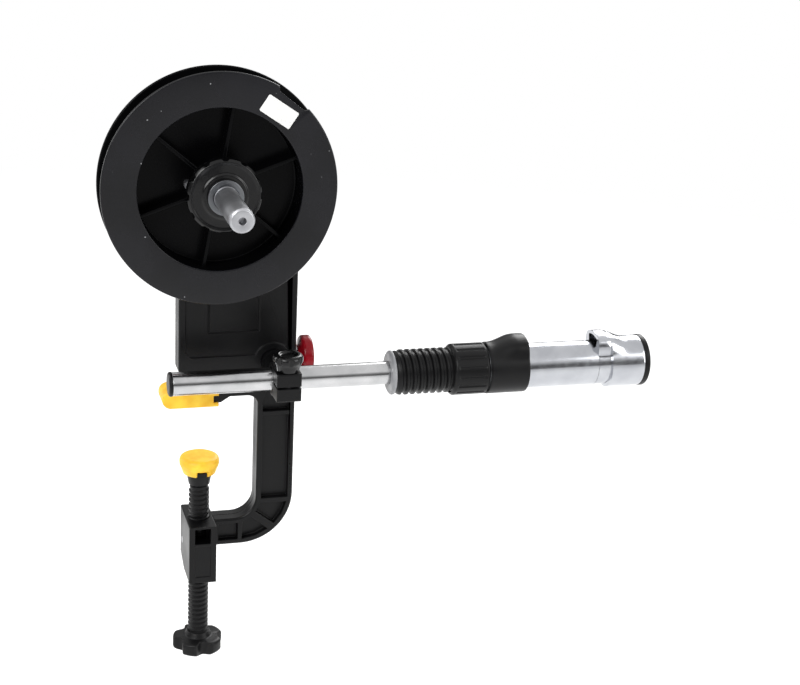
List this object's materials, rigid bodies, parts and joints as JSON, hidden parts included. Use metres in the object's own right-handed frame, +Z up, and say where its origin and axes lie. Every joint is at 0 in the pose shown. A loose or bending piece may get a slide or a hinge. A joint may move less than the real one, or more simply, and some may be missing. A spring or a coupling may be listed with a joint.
{
  "type": "fishing line winder",
  "caption": "Hand-cranked fishing line winder: a C-clamp frame with a geared spool spindle, a double-knob crank and a tube with a reel seat on an adjustable cross rod.",
  "frame": {"origin": "middle of the fixed jaw's pad face, on the axis of the clamp screw", "axes": "+X along the steel tube towards the reel seat, +Y from the spool side to the crank side, +Z up from the clamp to the spool"},
  "size_m": [0.3172, 0.1708, 0.358],
  "materials": {
    "black_gloss": "glossy",
    "black_knob": "soft grip",
    "black_moulding": "satin moulded",
    "black_spool": "smooth moulded",
    "bronze": "sintered",
    "chrome": "polished",
    "dark_steel": "blackened",
    "fibre": "pressed fibre",
    "nylon": "moulded",
    "polished_steel": "polished",
    "red_anodised": "anodised",
    "red_plastic": "glossy",
    "screw_brass": "plated",
    "steel": "turned",
    "yellow_pad": "soft pad"
  },
  "bodies": {
    "frame": {"front_frame": "black_moulding", "rear_frame": "black_moulding", "gear_cover": "black_moulding", "cover_screws": "dark_steel", "jaw_pad": "yellow_pad", "spindle_bushes": "bronze", "crank_bushes": "bronze", "release_pin": "steel", "release_spring": "steel"},
    "crank": {"crank_shaft": "steel", "drive_gear": "steel", "drag_washers": "fibre", "crank_sleeve": "chrome", "crank_arm": "red_anodised", "crank_nut": "red_anodised", "arm_lock_screw": "screw_brass", "knob_posts": "steel", "knob_washers": "steel"},
    "spool_spindle": {"spindle": "steel", "pinion_gear": "steel", "drive_disc": "black_moulding", "drive_pins": "steel", "line_spool": "black_spool"},
    "star_drag": {"star_drag": "chrome"},
    "upper_knob": {"knob_upper": "black_knob", "knob_cap_upper": "black_gloss"},
    "lower_knob": {"knob_lower": "black_knob", "knob_cap_lower": "black_gloss"},
    "spool_nut": {"spool_nut": "black_moulding", "nut_collar": "dark_steel"},
    "cross_rod": {"cross_rod": "dark_steel", "rod_end_cap": "black_moulding"},
    "tube_bracket": {"tube_bracket": "black_moulding", "bracket_nut": "steel"},
    "bracket_knob": {"bracket_knob": "black_gloss", "bracket_screw": "steel"},
    "reel_tube": {"reel_tube": "polished_steel", "tube_end_plug": "black_moulding", "seat_ring": "nylon", "thread_barrel": "black_moulding", "seat_tube": "chrome", "seat_bush": "nylon", "fixed_hood": "chrome", "seat_end_cap": "black_moulding"},
    "sliding_hood": {"sliding_hood": "black_moulding"},
    "locking_nut": {"locking_nut": "black_moulding"},
    "thumb_tip": {"thumb_tip": "nylon"},
    "thumb_screw": {"thumb_shank": "steel", "thumb_knob": "red_plastic"},
    "clamp_pad": {"screw_pad": "yellow_pad", "swivel_cup": "black_moulding"},
    "clamp_screw": {"clamp_screw": "black_moulding", "star_knob": "black_moulding"},
    "release_lever": {"release_lever": "black_moulding"}
  },
  "joints": [
    {"name": "crank_spin", "type": "hinge", "parent": "frame", "child": "crank", "pos_m": [0.0183, 0, 0.1058], "axis": [0, 1, 0], "continuous": true},
    {"name": "spindle_spin", "type": "hinge", "parent": "frame", "child": "spool_spindle", "pos_m": [0.00318, 0, 0.13625], "axis": [0, 1, 0], "continuous": true},
    {"name": "star_drag_turn", "type": "hinge", "parent": "crank", "child": "star_drag", "pos_m": [0.0183, 0.015, 0.1058], "axis": [0, 1, 0], "range_deg": [-180, 540]},
    {"name": "upper_knob_spin", "type": "hinge", "parent": "crank", "child": "upper_knob", "pos_m": [-0.01706, 0.04, 0.14116], "axis": [0, 1, 0], "continuous": true},
    {"name": "lower_knob_spin", "type": "hinge", "parent": "crank", "child": "lower_knob", "pos_m": [0.05366, 0.04, 0.07044], "axis": [0, 1, 0], "continuous": true},
    {"name": "spool_nut_travel", "type": "slide", "parent": "spool_spindle", "child": "spool_nut", "axis": [0, -1, 0], "range_m": [0, 0.044]},
    {"name": "rod_slide", "type": "slide", "parent": "frame", "child": "cross_rod", "axis": [0, 1, 0], "range_m": [-0.028, 0.0095]},
    {"name": "arm_swing", "type": "hinge", "parent": "cross_rod", "child": "tube_bracket", "pos_m": [0.0408, -0.02, 0.026], "axis": [0, 1, 0], "range_deg": [-45, 28]},
    {"name": "bracket_knob_turn", "type": "hinge", "parent": "tube_bracket", "child": "bracket_knob", "pos_m": [0.0408, -0.0466, 0.034], "axis": [0, 0, 1], "range_deg": [-90, 360]},
    {"name": "tube_slide", "type": "slide", "parent": "tube_bracket", "child": "reel_tube", "axis": [1, 0, 0], "range_m": [-0.048, 0.035]},
    {"name": "hood_slide", "type": "slide", "parent": "reel_tube", "child": "sliding_hood", "axis": [-1, 0, 0], "range_m": [0, 0.015]},
    {"name": "locking_nut_turn", "type": "hinge", "parent": "sliding_hood", "child": "locking_nut", "pos_m": [0.148, -0.036, 0.026], "axis": [-1, 0, 0], "range_deg": [0, 1345]},
    {"name": "thumb_travel", "type": "slide", "parent": "frame", "child": "thumb_tip", "axis": [1, 0, 0], "range_m": [0, 0.002]},
    {"name": "thumb_screw_turn", "type": "hinge", "parent": "thumb_tip", "child": "thumb_screw", "pos_m": [0.06, 0, 0.026], "axis": [1, 0, 0], "range_deg": [0, 715]},
    {"name": "clamp_travel", "type": "slide", "parent": "frame", "child": "clamp_pad", "axis": [0, 0, 1], "range_m": [-0.0198, 0.0319]},
    {"name": "clamp_screw_turn", "type": "hinge", "parent": "clamp_pad", "child": "clamp_screw", "pos_m": [0, 0, -0.1], "axis": [0, 0, 1], "range_deg": [-2370, 3820]},
    {"name": "release_press", "type": "hinge", "parent": "frame", "child": "release_lever", "pos_m": [0, 0.0116, -0.092], "axis": [-1, 0, 0], "range_deg": [0, 8], "stiffness_Nm_per_rad": 0.15, "springref_deg": -5.73, "deforming": ["release_spring"]}
  ],
  "couplings": [
    {"joint": "spindle_spin", "follows": "crank_spin", "ratio": -5.5385},
    {"joint": "hood_slide", "follows": "locking_nut_turn", "m_per_rad": 0.00063662},
    {"joint": "thumb_travel", "follows": "thumb_screw_turn", "m_per_rad": 0.00015915},
    {"joint": "clamp_travel", "follows": "clamp_screw_turn", "m_per_rad": 0.00047746}
  ]
}
